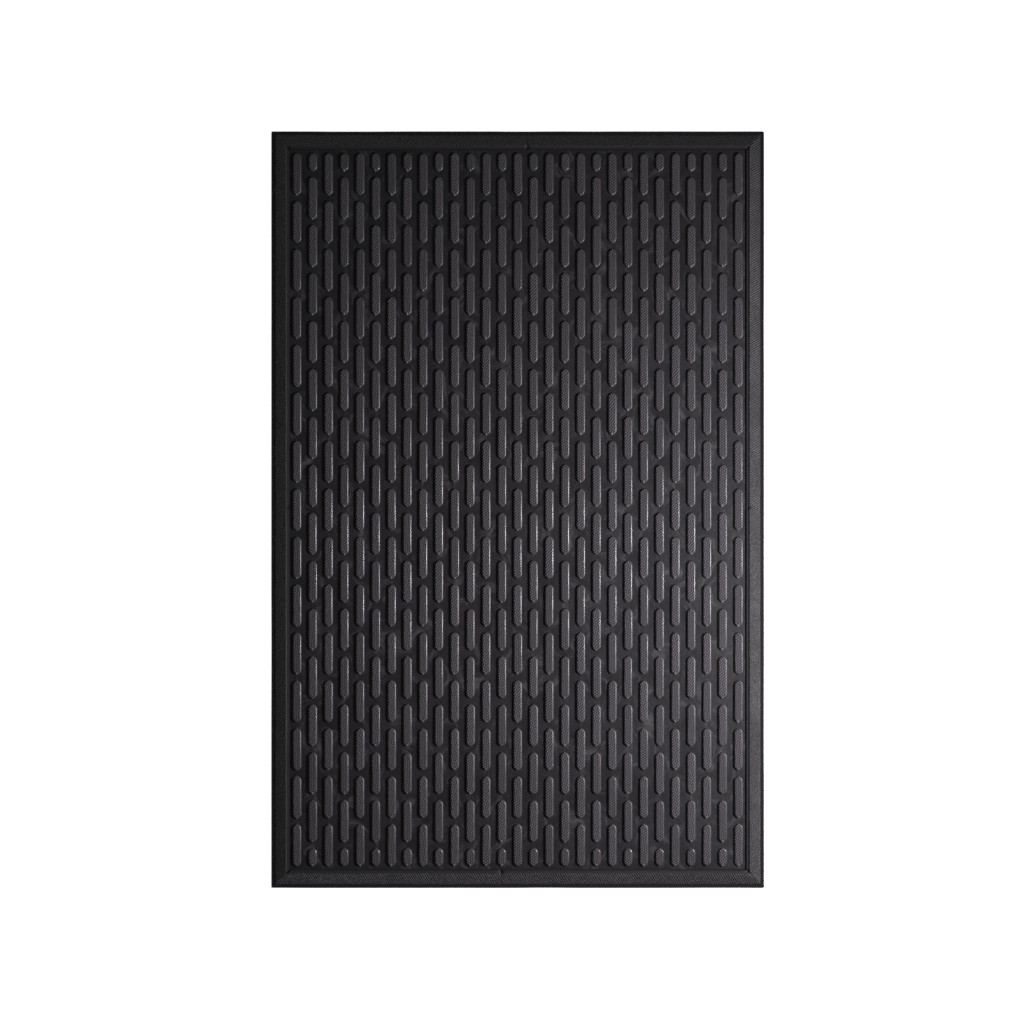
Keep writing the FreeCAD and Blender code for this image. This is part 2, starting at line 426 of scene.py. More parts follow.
def build_column(number, node):
    """All cleats of one column in one mesh, each a little different from the next."""
    low, high = box_of(node)
    middles, halves = column_layout(low, high, staggered=number % 2 == 0)
    count = middles.size
    draw = np.random.default_rng(500 + number)
    centre_x = (low[0] + high[0]) / 2 + draw.normal(0, PLACE_SPREAD, count)
    half_width = (high[0] - low[0]) / 2 * (1 + draw.normal(0, WIDTH_SPREAD, count))
    half_length = halves + draw.normal(0, LENGTH_SPREAD, count)
    height = (high[2] - low[2]) * (1 - np.abs(draw.normal(0, HEIGHT_SPREAD, count)))
    lean = draw.normal(0, LEAN_SPREAD, count)
    points, facing = cleat_points(centre_x, middles, half_width, half_length, height, lean)
    start = (np.arange(count) * RINGS * POINTS)[:, None, None]
    faces = (one_cleat + start).reshape(-1, 4).tolist()
    faces += (foot_cap + start[:, 0]).tolist() + (top_cap + start[:, 0]).tolist()
    marks = cleat_marks(points, middles, draw)
    piece = add_piece(f"{node}_rubber", points, faces, [node], marks, facing)
    return piece, count


cleat_nodes = sorted(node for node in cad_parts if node.startswith("cleat_column"))
built = [build_column(number, node) for number, node in enumerate(cleat_nodes, start=1)]
cleat_pieces = [piece for piece, count in built]
print(len(cleat_pieces), "columns,", sum(count for piece, count in built), "cleats,",
      len(one_cleat) + 2, "faces in each")

# %% [markdown]
# ## The border strips
#
# Eight strips make the border, two to a side. Each is one section carried along its side:
# up the ramp, over a soft crest, down to a narrow ledge and down a wall to the field. At a
# corner two strips meet on a 45 degree mitre, and near the middle of each side two meet
# on a square splice. Rubber never quite closes such a joint. It leaves a shallow crease
# on the ramp, a notch in the ledge, and a crumb or two of flash.

# %% The section of the border
RAMP_WIDTH = 13.6 * MM
FALL_WIDTH = 1.8 * MM
LEDGE_WIDTH = 1.8 * MM
LEDGE_TOP = 5.7 * MM
TOE = 0.6 * MM
BELLY = 0.12 * MM
CREST_AT = LIP_WIDTH + RAMP_WIDTH
LEDGE_AT = CREST_AT + FALL_WIDTH
WALL_AT = LEDGE_AT + LEDGE_WIDTH
STRIP_FOOT = LIP_TOP - 0.2 * MM


def border_section():
    """Distance in from the mat's edge and height, from the toe over the crest to the field.

    The ramp is straight with a slight belly: the rise is its share plus a small half sine.
    Short chords round off the toe, the crest, the ledge's edge and the foot of the wall.
    """
    share = np.linspace(0, 1, 8)
    ramp_in = LIP_WIDTH + 0.25 * MM + (RAMP_WIDTH - 0.85 * MM) * share
    low = LIP_TOP + TOE + 0.1 * MM
    ramp_up = low + (CREST_TOP - 0.12 * MM - low) * share + BELLY * np.sin(np.pi * share)
    toe = [(LIP_WIDTH, STRIP_FOOT), (LIP_WIDTH + 0.05 * MM, LIP_TOP + 0.35 * MM)]
    crest = [
        (CREST_AT - 0.15 * MM, CREST_TOP - 0.03 * MM),
        (CREST_AT + 0.3 * MM, CREST_TOP - 0.10 * MM),
        (CREST_AT + 0.8 * MM, CREST_TOP - 0.45 * MM),
    ]
    ledge = [
        (LEDGE_AT - 0.4 * MM, LEDGE_TOP),
        (LEDGE_AT + 0.1 * MM, LEDGE_TOP - 0.08 * MM),
        (LEDGE_AT + 0.6 * MM, LEDGE_TOP),
        (WALL_AT - 0.3 * MM, LEDGE_TOP),
    ]
    wall = [
        (WALL_AT + 0.15 * MM, LEDGE_TOP - 0.2 * MM),
        (BORDER_WIDTH - 0.7 * MM, TREAD_TOP + 0.25 * MM),
        (BORDER_WIDTH - 0.2 * MM, TREAD_TOP + 0.02 * MM),
        (BORDER_WIDTH + 0.3 * MM, TREAD_TOP - 0.15 * MM),
        (BORDER_WIDTH, STRIP_FOOT),
    ]
    return np.concatenate([toe, np.column_stack([ramp_in, ramp_up]), crest, ledge, wall])


section = border_section()
section_run = np.concatenate([[0], np.hypot(*np.diff(section, axis=0).T).cumsum()])
print(f"{len(section)} points in the section, {section_run[-1] / MM:.1f} mm round")

# %% Where along a strip its points lie
END_STEPS = np.array([0.0, 0.35, 0.7, 1.1, 1.6, 2.3, 3.3, 5.0]) * MM
LONG_STEP = 5 * MM


def stations(length):
    """Distances from the start of a strip: close together near both ends, even between."""
    inner = length - 2 * END_STEPS[-1]
    middle = np.linspace(0, inner, max(round(inner / LONG_STEP), 2) + 1)[1:-1] + END_STEPS[-1]
    return np.concatenate([END_STEPS, middle, length - END_STEPS[::-1]])


print("points along half a long side:", stations(HALF_LENGTH).size)

# %% Creases, notches and crumbs of flash
CREASE_SHARE = 0.22
CREASE_WIDTH = 0.7 * MM
NOTCH_WIDTH = 2.0 * MM
NOTCH_REACH = 3.0 * MM
MITRE_SINK = 1.1 * MM
SPLICE_SINK = 1.5 * MM
CRUMB_LENGTH = 1.1 * MM
CRUMB_WIDTH = 0.9 * MM


def bump(distance, width):
    """Bell curve: one at no distance, and e to the minus one at `width`."""
    return np.exp(-(distance / width) ** 2)


def joint_sink(gap, inwards, depth):
    """How far the surface sinks near a joint, `gap` away from it.

    A shallow crease runs all the way out, and a deeper notch lies over the fall and the
    ledge, where the two ends of rubber had least pressure on them.
    """
    crease = CREASE_SHARE * depth * bump(gap, CREASE_WIDTH)
    notch = depth * bump(gap, NOTCH_WIDTH) * bump(inwards - LEDGE_AT, NOTCH_REACH)
    return crease + notch


def crumb(along, inwards, place, across, size):
    """A crumb of flash: a low round bump at one place of the strip."""
    return size * bump(along - place, CRUMB_LENGTH) * bump(inwards - across, CRUMB_WIDTH)


print("sink at a mitre:", (joint_sink(0.0, LEDGE_AT, MITRE_SINK) / MM).round(2), "mm")

# %% The points of a strip
# where a crumb of flash sits beside each mitre, and how high it is
CORNER_CRUMB_AT, CORNER_CRUMB = 1.4 * MM, 0.55 * MM
HEIGHT_WAVE, HEIGHT_WANDER = 0.11, 0.05 * MM
WIDTH_WAVE, WIDTH_WANDER = 0.16, 0.09 * MM


def strip_points(start, stop, corner_first, seed, crumbs):
    """A strip drawn along X with the mat's edge on the X axis, as (stations, section, 3).

    At a mitred end each point starts as far along as it lies inwards, which is the 45
    degree cut. The heights sink at both ends, carry the crumbs, and wander a little.
    """
    inwards, height = section[:, 0], section[:, 1]
    share = stations(stop - start) / (stop - start)
    cut_first = np.where(corner_first, inwards, 0.0)
    cut_last = np.where(corner_first, 0.0, inwards)
    first, last = start + cut_first, stop - cut_last
    x = first + (last - first) * share[:, None]
    gap_first, gap_last = x - first, last - x
    corner_gap, splice_gap = (gap_first, gap_last) if corner_first else (gap_last, gap_first)
    free = (height > LIP_TOP) & (inwards < BORDER_WIDTH + 0.1 * MM)
    sink = joint_sink(corner_gap, inwards, MITRE_SINK)
    sink = sink + joint_sink(splice_gap, inwards, SPLICE_SINK)
    rise = crumb(corner_gap, inwards, CORNER_CRUMB_AT, WALL_AT, CORNER_CRUMB)
    for place, size in crumbs:
        rise = rise + crumb(x, inwards, place, BORDER_WIDTH - 0.6 * MM, size)
    z = height + np.where(free, rise - sink + wander(x, seed, HEIGHT_WAVE, HEIGHT_WANDER), 0)
    y = inwards + np.where(free, wander(x, seed + 1, WIDTH_WAVE, WIDTH_WANDER), 0)
    return np.stack([x, y, np.maximum(z, STRIP_FOOT)], -1)


print(int((section[:, 1] > LIP_TOP).sum()), "points of the section can sink or wander")

# %% Place the strips round the mat
def side_turn(angle, base_x, base_y):
    """A whole number of quarter turns about Z, then a move, as a function of points."""
    cosine = round(np.cos(np.radians(angle)))
    sine = round(np.sin(np.radians(angle)))

    def place(points):
        x, y, z = points[..., 0], points[..., 1], points[..., 2]
        turned_x = cosine * x - sine * y + base_x
        turned_y = sine * x + cosine * y + base_y
        return np.stack([turned_x, turned_y, z], -1)

    return place


front = side_turn(0, 0, -HALF_LENGTH)
right = side_turn(90, HALF_WIDTH, 0)
back = side_turn(180, 0, HALF_LENGTH)
left = side_turn(-90, -HALF_WIDTH, 0)
print("sides ready")

# %% One strip as a piece
on_ramp = (section[:, 0] > LIP_WIDTH + 0.2 * MM) & (section[:, 0] < CREST_AT + 0.2 * MM)
RAMP_MARK = on_ramp.astype(float)
# the wall: painted shade goes here, and the rubber there is duller
WALL_MARK = (section[:, 0] > WALL_AT - 0.1 * MM).astype(float)


def build_strip(name, start, stop, corner_first, place, seed, crumbs=()):
    """One strip as a closed mesh, with its marks.

    imprint is 1 on the ramp and wall is 1 on the wall. along and across are the distances
    along the side and round the section, a map of the strip laid flat. The section runs
    clockwise, so every face is turned over.
    """
    points = strip_points(start, stop, corner_first, seed, crumbs)
    shape = points.shape[:2]
    faces = [face[::-1] for face in closed_faces(*shape)]
    marks = {
        "imprint": np.broadcast_to(RAMP_MARK, shape),
        "wall": np.broadcast_to(WALL_MARK, shape),
        "along": points[..., 0],
        "across": np.broadcast_to(section_run, shape),
    }
    return add_piece(f"{name}_rubber", place(points), faces, [name], marks)


print(int(RAMP_MARK.sum()), "points of the section carry the imprint")

# %% Build all eight strips
front_splice = box_of("border_front_left")[1][0]
right_splice = box_of("border_right_front")[1][1]
back_splice = -box_of("border_back_left")[1][0]
left_splice = -box_of("border_left_front")[1][1]
# place along the side and height of each loose crumb of flash
FRONT_CRUMBS = [(-46 * MM, 0.5 * MM)]
BACK_CRUMBS = [(-40 * MM, 0.7 * MM), (-1 * MM, 0.3 * MM)]
strips = [
    build_strip("border_front_left", -HALF_WIDTH, front_splice, True, front, 31, FRONT_CRUMBS),
    build_strip("border_front_right", front_splice, HALF_WIDTH, False, front, 33),
    build_strip("border_right_front", -HALF_LENGTH, right_splice, True, right, 35),
    build_strip("border_right_back", right_splice, HALF_LENGTH, False, right, 37),
    build_strip("border_back_right", -HALF_WIDTH, back_splice, True, back, 39, BACK_CRUMBS),
    build_strip("border_back_left", back_splice, HALF_WIDTH, False, back, 41, BACK_CRUMBS[1:]),
    build_strip("border_left_back", -HALF_LENGTH, left_splice, True, left, 43),
    build_strip("border_left_front", left_splice, HALF_LENGTH, False, left, 45),
]
print(len(strips), "strips,", sum(len(strip.data.polygons) for strip in strips), "faces")

# %% [markdown]
# ## Node groups
#
# Three effects are shared by the finishes: the fine grain of rubber, the twill imprint
# that the curing cloth leaves, and dust with smudges. Each is a node group, built once.
# The groups put out masks, and heights in metres, so that heights from several groups can
# be added before one Bump node turns them into shading.

# %% Helpers for groups and links
def new_group(name, inputs, outputs):
    """A node group that reads a Position and named numbers, and puts out named numbers."""
    group = bpy.data.node_groups.new(name, "ShaderNodeTree")
    group.interface.new_socket("Position", in_out="INPUT", socket_type="NodeSocketVector")
    for label, value in inputs.items():
        socket = group.interface.new_socket(label, in_out="INPUT", socket_type="NodeSocketFloat")
        socket.default_value = value
    for label in outputs:
        group.interface.new_socket(label, in_out="OUTPUT", socket_type="NodeSocketFloat")
    return group, group.nodes.new("NodeGroupInput"), group.nodes.new("NodeGroupOutput")


def feed(tree, socket, value):
    """Join an output to the socket, or set the socket to a plain value."""
    if isinstance(value, bpy.types.NodeSocket):
        tree.links.new(value, socket)
    else:
        socket.default_value = value


def math(tree, operation, *values, clamp=False):
    """A Math node; each value is a number or an output. Gives back its result."""
    node = tree.nodes.new("ShaderNodeMath")
    node.operation = operation
    node.use_clamp = clamp
    for socket, value in zip(node.inputs, values):
        feed(tree, socket, value)
    return node.outputs[0]


def times(tree, first, second):
    """A Math node that multiplies."""
    return math(tree, "MULTIPLY", first, second)


def plus(tree, first, second):
    """A Math node that adds."""
    return math(tree, "ADD", first, second)


def scaled(tree, value, gain, base):
    """A Math node that gives the value times the gain, plus the base."""
    return math(tree, "MULTIPLY_ADD", value, gain, base)


print("links and sums ready")

# %% Helpers for noise and masks
def noise(tree, place, scale, detail=3.0, roughness=0.5):
    """A Noise texture read at `place`, with its value from 0 to 1."""
    node = tree.nodes.new("ShaderNodeTexNoise")
    tree.links.new(place, node.inputs["Vector"])
    for label, value in (("Scale", scale), ("Detail", detail), ("Roughness", roughness)):
        feed(tree, node.inputs[label], value)
    return node.outputs[0]


def smooth_range(tree, value, low, high):
    """A Map Range node that turns low..high into a smooth 0..1."""
    node = tree.nodes.new("ShaderNodeMapRange")
    node.interpolation_type = "SMOOTHSTEP"
    tree.links.new(value, node.inputs["Value"])
    node.inputs["From Min"].default_value = low
    node.inputs["From Max"].default_value = high
    return node.outputs[0]


print("noise and masks ready")

# %% [markdown]
# ### Rubber grain
#
# Cured rubber has the grain of the mould's sandblasted face: pits and lumps of a few
# tenths of a millimetre. One fine noise gives the grain, and a coarse one gives the slow
# change in tone from one patch to the next.

# %% Build the grain group
PATCH_SCALE = 22.0
inputs = {"Size": 0.4 * MM, "Depth": 0.02 * MM}
grain_group, entry, result = new_group("Rubber grain", inputs, ["Height", "Patches"])
tree = grain_group
position = entry.outputs["Position"]
frequency = math(tree, "DIVIDE", 1.0, entry.outputs["Size"])
fine = noise(tree, position, frequency, detail=2.0, roughness=0.6)
height = times(tree, fine, entry.outputs["Depth"])
tree.links.new(height, result.inputs["Height"])
patches = noise(tree, position, PATCH_SCALE, detail=4.0, roughness=0.62)
patches = smooth_range(tree, patches, 0.3, 0.72)
tree.links.new(patches, result.inputs["Patches"])
print("grain group:", len(tree.nodes), "nodes")

# %% [markdown]
# ### Twill imprint
#
# The ramps and the cleat tops were pressed against a twill cloth. A twill shows as slanted
# ridges, each made of short threads like bricks in a wall. Turning the position so that
# one axis runs across the ridges makes each ridge one wave of a cosine. Along the ridge a
# second wave, shifted from one ridge to the next, cuts it into threads. Noise bends the
# lines, because cloth never lies quite square, and a finer one lets some threads press
# harder than others.

# %% Start the twill group
BEND_SCALE = 90.0
BEND_REACH = 1.2 * MM
inputs = {"Slant": 0.5, "Ridge spacing": 2.6 * MM, "Thread length": 2.6 * MM}
inputs |= {"Depth": 0.2 * MM, "Break": 0.4}
twill_group, entry, result = new_group("Twill imprint", inputs, ["Height", "Ridge"])
tree = twill_group
position = entry.outputs["Position"]
bend = noise(tree, position, BEND_SCALE, detail=2.0)
bend = times(tree, math(tree, "SUBTRACT", bend, 0.5), BEND_REACH)
split = tree.nodes.new("ShaderNodeSeparateXYZ")
tree.links.new(position, split.inputs[0])
x, y = split.outputs[0], split.outputs[1]
cosine = math(tree, "COSINE", entry.outputs["Slant"])
sine = math(tree, "SINE", entry.outputs["Slant"])
over = math(tree, "SUBTRACT", times(tree, y, cosine), times(tree, x, sine))
over = math(tree, "DIVIDE", plus(tree, over, bend), entry.outputs["Ridge spacing"])
down = plus(tree, times(tree, x, cosine), times(tree, y, sine))
down = math(tree, "DIVIDE", down, entry.outputs["Thread length"])
print("twill group:", len(tree.nodes), "nodes turn and bend the position")

# %% Ridges and threads
FULL_TURN = 2 * np.pi
THREAD_SHIFT = 0.36
FIBRE_SCALE = 300.0
FIBRE_GAIN, FIBRE_BASE = 1.6, 0.25
ridge = math(tree, "COSINE", times(tree, over, FULL_TURN))
ridge = scaled(tree, ridge, 0.5, 0.5)
shift = times(tree, math(tree, "ROUND", over), THREAD_SHIFT)
thread = times(tree, plus(tree, down, shift), FULL_TURN)
thread = math(tree, "COSINE", thread)
whole = math(tree, "SUBTRACT", 1.0, entry.outputs["Break"])
thread = scaled(tree, thread, entry.outputs["Break"], whole)
fibre = noise(tree, position, FIBRE_SCALE, detail=2.0)
fibre = scaled(tree, fibre, FIBRE_GAIN, FIBRE_BASE)
relief = times(tree, times(tree, ridge, thread), fibre)
height = times(tree, relief, entry.outputs["Depth"])
tree.links.new(height, result.inputs["Height"])
tree.links.new(relief, result.inputs["Ridge"])
print("twill group:", len(tree.nodes), "nodes in all")

# %% [markdown]
# ### Dust and smudges
#
# A new mat still carries bloom and talc from the press. It lies in soft smears, with a
# few specks. A stretched noise, swirled by a coarser one, gives the smears, and a high
# threshold on a fine noise gives the specks.

# %% Start the dust group
STRETCH = (1.0, 0.45, 1.0)
STRETCH_TURN = (0.0, 0.0, 0.5)
SWIRL_SCALE = 16.0
SWIRL_REACH = (0.09, 0.05, 0.0)
inputs = {"Smears": 0.5, "Specks": 0.5}
dust_group, entry, result = new_group("Dust and smudges", inputs, ["Dust"])
tree = dust_group
position = entry.outputs["Position"]
stretch = tree.nodes.new("ShaderNodeMapping")
stretch.inputs["Scale"].default_value = STRETCH
stretch.inputs["Rotation"].default_value = STRETCH_TURN
tree.links.new(position, stretch.inputs["Vector"])
swirl = noise(tree, position, SWIRL_SCALE, detail=2.0)
turn = tree.nodes.new("ShaderNodeVectorMath")
turn.operation = "MULTIPLY_ADD"
tree.links.new(swirl, turn.inputs[0])
turn.inputs[1].default_value = SWIRL_REACH
tree.links.new(stretch.outputs[0], turn.inputs[2])
print("dust group:", len(tree.nodes), "nodes stretch and swirl the position")

# %% Smears and specks
SMEAR_SCALE = 75.0
SPECK_SCALE = 900.0
smear = noise(tree, turn.outputs[0], SMEAR_SCALE, detail=5.0, roughness=0.70)
smear = smooth_range(tree, smear, 0.50, 0.78)
smear = times(tree, smear, entry.outputs["Smears"])
speck = noise(tree, position, SPECK_SCALE, detail=1.0)
speck = smooth_range(tree, speck, 0.70, 0.76)
speck = times(tree, speck, entry.outputs["Specks"])
dust = math(tree, "ADD", smear, speck, clamp=True)
tree.links.new(dust, result.inputs["Dust"])
print("dust group:", len(tree.nodes), "nodes in all")

# %% [markdown]
# ## Finishes
#
# The whole mat is one black compound, a trace more violet than neutral. What changes from
# piece to piece is the surface. The smooth sheets are dark, the imprint looks greyer because
# its ridges are painted lighter as painted light, and the rounded edges of the cleats keep
# the mould's gloss. The cleats' flanks are painted lighter than the sheets, as painted fill
# light in their shade. So the sheets, the cleats and the border get a finish each, and all
# three are built from the same groups and helpers.

# %% Helpers for the finishes
def mix_colour(tree, share, dark, light):
    """A Mix node between two colours; each is a tuple or an output."""
    node = tree.nodes.new("ShaderNodeMix")
    node.data_type = "RGBA"
    tree.links.new(share, node.inputs["Factor"])
    for socket, value in ((node.inputs[6], dark), (node.inputs[7], light)):
        feed(tree, socket, (*value, 1.0) if isinstance(value, tuple) else value)
    return node.outputs[2]


def use_group(tree, group, place, **values):
    """Place a group, join its position, and feed its inputs with numbers or outputs."""
    node = tree.nodes.new("ShaderNodeGroup")
    node.node_tree = group
    tree.links.new(place, node.inputs["Position"])
    for label, value in values.items():
        feed(tree, node.inputs[label.replace("_", " ")], value)
    return node


def attribute(tree, name):
    """The value of one of a mesh's own marks."""
    node = tree.nodes.new("ShaderNodeAttribute")
    node.attribute_name = name
    return node.outputs["Fac"]


print("finish helpers ready")

# %% Start a material
def start_material(name, specular):
    """A material with an empty Principled BSDF, and the object's own coordinates."""
    material = bpy.data.materials.new(name)
    material.use_nodes = True
    tree = material.node_tree
    shader = tree.nodes["Principled BSDF"]
    shader.inputs["Specular IOR Level"].default_value = specular
    place = tree.nodes.new("ShaderNodeTexCoord").outputs["Object"]
    return material, tree, shader, place


def finish_material(tree, shader, colour, roughness, height):
    """Join colour, roughness and the summed height to the shader."""
    tree.links.new(colour, shader.inputs["Base Color"])
    tree.links.new(roughness, shader.inputs["Roughness"])
    relief = tree.nodes.new("ShaderNodeBump")
    relief.inputs["Strength"].default_value = 1.0
    relief.inputs["Distance"].default_value = 1.0
    tree.links.new(height, relief.inputs["Height"])
    tree.links.new(relief.outputs[0], shader.inputs["Normal"])


print("materials can be started and finished")

# %% The colours
# the smooth sheets, from their dark patches to their light ones
SHEET_DARK = (0.0070, 0.0060, 0.0076)
SHEET_LIGHT = (0.0102, 0.0088, 0.0110)
# a cleat's flank, painted lighter than the smooth sheets as painted fill light that lifts its
# shade
FLANK_PAINTED_FILL = (0.0360, 0.0328, 0.0372)
# the twill on a cleat's top: dark hollows, and ridges painted lighter as painted light on the
# relief
IMPRINT_DARK = (0.0105, 0.0094, 0.0111)
IMPRINT_RIDGE_PAINTED_LIGHT = (0.0940, 0.0869, 0.0968)
# a pale spot at the cleats' tips, painted as a glint: a painted highlight
PAINTED_TIP_GLINT = (0.250, 0.241, 0.254)
# the border: hollows and ridges on the ramp, then the smooth parts, and the inner wall, painted
# near black as painted shade
# the ramp's twill: dark hollows, and ridges painted lighter as painted light on the relief
RAMP_DARK = (0.0055, 0.0048, 0.0059)
RAMP_RIDGE_PAINTED_LIGHT = (0.0230, 0.0212, 0.0237)
BAND = (0.0060, 0.0052, 0.0064)
WALL_PAINTED_SHADE = (0.0015, 0.0013, 0.0016)
DUST = (0.060, 0.058, 0.060)
print("the sheets' colour:", SHEET_DARK, "to", SHEET_LIGHT)

# %% [markdown]
# ### The smooth sheets
#
# The backing and the tread share a finish: fine grain, slow mottling, faint patches and
# dust. The backing's bare lip is dull and nearly clean. The tread was moulded against a
# plate, so it is smoother, and it has more dust, because it lies low and holds it.

# %% Finish the sheets
GRAIN_SIZE = 0.5 * MM
SHEET_GRAIN = 0.035 * MM
MOTTLE_SCALE = 210.0
MOTTLE_HEIGHT = 0.22 * MM
PATCH_DULL = 0.10
DUST_DULL = 0.25


def sheet_material(name, smears, specks, roughness, specular):
    """Smooth rubber: the patches set the tone, and the dust lightens and dulls it."""
    material, tree, shader, place = start_material(name, specular)
    grain = use_group(tree, grain_group, place, Size=GRAIN_SIZE, Depth=SHEET_GRAIN)
    dust = use_group(tree, dust_group, place, Smears=smears, Specks=specks)
    colour = mix_colour(tree, grain.outputs["Patches"], SHEET_DARK, SHEET_LIGHT)
    colour = mix_colour(tree, dust.outputs["Dust"], colour, DUST)
    rough = scaled(tree, grain.outputs["Patches"], PATCH_DULL, roughness)
    rough = math(tree, "MULTIPLY_ADD", dust.outputs["Dust"], DUST_DULL, rough, clamp=True)
    mottle = times(tree, noise(tree, place, MOTTLE_SCALE, detail=3.0), MOTTLE_HEIGHT)
    finish_material(tree, shader, colour, rough, plus(tree, grain.outputs["Height"], mottle))
    return material


lip_finish = sheet_material(
    "smooth backing rubber", smears=0.03, specks=0.08, roughness=0.86, specular=0.22)
field_finish = sheet_material(
    "smooth tread rubber", smears=0.80, specks=0.30, roughness=0.43, specular=0.45)
backing.data.materials.append(lip_finish)
tread.data.materials.append(field_finish)
print("sheets finished")

# %% [markdown]
# ### The cleats
#
# Each cleat carries four marks for its finish. Imprint is 1 on the flat top and falls to
# 0 down the flank: colour, gloss and relief each switch over at their own place on that
# fall. Tone gives each cleat its own depth, slant and strength of twill, because the
# cloth did not press evenly everywhere. Reach tells how far along a point is from the
# cleat's middle, where the edges are polished most. The last mark lies at the tips, where
# a pale spot is painted as a glint: a painted highlight.

# %% The twill on a cleat
TONE_DEPTH, LEAST_DEPTH = 0.26 * MM, 0.34 * MM
TONE_SLANT, LEAST_SLANT = 0.34, 0.50
TONE_STEP = 31 * MM


def cleat_twill(tree, place, tone, pressed):
    """The twill group on a cleat: tone sets its depth and slant, and shifts it sideways."""
    depth = times(tree, scaled(tree, tone, TONE_DEPTH, LEAST_DEPTH), pressed)
    slant = scaled(tree, tone, TONE_SLANT, LEAST_SLANT)
    step = tree.nodes.new("ShaderNodeCombineXYZ")
    tree.links.new(times(tree, tone, TONE_STEP), step.inputs[0])
    moved = tree.nodes.new("ShaderNodeVectorMath")
    tree.links.new(place, moved.inputs[0])
    tree.links.new(step.outputs[0], moved.inputs[1])
    return use_group(tree, twill_group, moved.outputs[0], Slant=slant, Depth=depth)


print("slants from", LEAST_SLANT, "to", round(LEAST_SLANT + TONE_SLANT, 2), "radians")

# %% The colour and gloss of a cleat
TONE_STRENGTH, LEAST_STRENGTH = 0.64, 0.68
EDGE_ROUGHNESS, POLISH, TOP_ROUGHNESS = 0.42, 0.145, 0.80
POLISH_PATCHES = 20.0


def cleat_colour(tree, place, twill, tone, on_top):
    """Grey ridges on the top, painted lighter as painted light, a little dust, flanks painted
    lighter as painted fill light, and a pale painted glint at the tips.
    """
    ridge = times(tree, twill.outputs["Ridge"], scaled(tree, tone, TONE_STRENGTH, LEAST_STRENGTH))
    # the top's ridges are painted lighter: painted light on the twill's relief
    top_colour = mix_colour(tree, times(tree, ridge, on_top), IMPRINT_DARK, IMPRINT_RIDGE_PAINTED_LIGHT)
    # the flanks are painted lighter than the sheets: painted fill light in their shade
    colour = mix_colour(tree, on_top, FLANK_PAINTED_FILL, top_colour)
    dust = use_group(tree, dust_group, place, Smears=0.12, Specks=0.25)
    colour = mix_colour(tree, times(tree, dust.outputs["Dust"], on_top), colour, DUST)
    # a painted glint: a pale spot at each tip
    tip_glint = smooth_range(tree, attribute(tree, "tip_glint"), 0.2, 0.75)
    return mix_colour(tree, tip_glint, colour, PAINTED_TIP_GLINT)


def cleat_roughness(tree, place, dull):
    """Edges polished in patches near the cleat's middle, and a dull top."""
    reach = math(tree, "ABSOLUTE", attribute(tree, "reach"))
    middle = smooth_range(tree, reach, 18 * MM, 6 * MM)
    patchy = smooth_range(tree, noise(tree, place, POLISH_PATCHES, detail=1.0), 0.36, 0.56)
    polish = times(tree, middle, scaled(tree, patchy, 0.7, 0.3))
    rough = scaled(tree, polish, -POLISH, EDGE_ROUGHNESS)
    to_dull = math(tree, "SUBTRACT", TOP_ROUGHNESS, rough)
    return plus(tree, rough, times(tree, dull, to_dull))


print("roughness from", round(EDGE_ROUGHNESS - POLISH, 3), "to", TOP_ROUGHNESS)

# %% Finish the cleats
MOULD_GRAIN = 0.03 * MM
WAVE_SCALE = 45.0
WAVE_HEIGHT = 0.3 * MM


def cleat_material():
    """Twill on the top, gloss on the edges, with slow waves that break up the gloss."""
    material, tree, shader, place = start_material("cleat rubber", 0.5)
    top, tone = attribute(tree, "imprint"), attribute(tree, "tone")
    on_top = smooth_range(tree, top, 0.20, 0.70)
    dull = smooth_range(tree, top, 0.73, 0.90)
    pressed = smooth_range(tree, top, 0.92, 1.0)
    grain = use_group(tree, grain_group, place, Size=GRAIN_SIZE, Depth=MOULD_GRAIN)
    pits = times(tree, grain.outputs["Height"], pressed)
    twill = cleat_twill(tree, place, tone, pressed)
    colour = cleat_colour(tree, place, twill, tone, on_top)
    rough = cleat_roughness(tree, place, dull)
    wave = times(tree, noise(tree, place, WAVE_SCALE, detail=1.0), WAVE_HEIGHT)
    height = plus(tree, plus(tree, pits, twill.outputs["Height"]), wave)
    finish_material(tree, shader, colour, rough, height)
    return material


cleat_finish = cleat_material()
for piece in cleat_pieces:
    piece.data.materials.append(cleat_finish)
print("cleats finished")

# %% [markdown]
# ### The border
#
# The twill has to turn with each strip, because the strips were cut from one long
# imprinted ribbon. Each strip carries the distances along its side and round its section,
# and together they are the position that the twill reads. Two more marks tell where the
# ramp is, and where the inner wall is, which is painted near black as painted shade.

# %% The twill and gloss of the border
RAMP_SLANT = np.radians(-60)
RAMP_SPACING = 2.5 * MM
RAMP_BREAK = 0.22
PATCH_DEPTH, LEAST_RAMP_DEPTH = 0.22 * MM, 0.50 * MM
BAND_ROUGHNESS, RAMP_SHEEN, WALL_DULL, BORDER_PATCH_DULL = 0.70, 0.17, 0.25, 0.08


def border_twill(tree, patches, on_ramp):
    """The twill group in the strip's own directions, pressed deeper in patches."""
    own = tree.nodes.new("ShaderNodeCombineXYZ")
    tree.links.new(attribute(tree, "along"), own.inputs[0])
    tree.links.new(attribute(tree, "across"), own.inputs[1])
    depth = times(tree, scaled(tree, patches, PATCH_DEPTH, LEAST_RAMP_DEPTH), on_ramp)
    return use_group(tree, twill_group, own.outputs[0], Slant=RAMP_SLANT,
                     Ridge_spacing=RAMP_SPACING, Break=RAMP_BREAK, Depth=depth)


def border_roughness(tree, patches, on_ramp, wall):
    """The ramp shines a little more than the band, and the wall and the patches less."""
    rough = scaled(tree, on_ramp, -RAMP_SHEEN, BAND_ROUGHNESS)
    rough = scaled(tree, wall, WALL_DULL, rough)
    return scaled(tree, patches, BORDER_PATCH_DULL, rough)


print("ramp twill every", round(RAMP_SPACING / MM, 2), "mm")

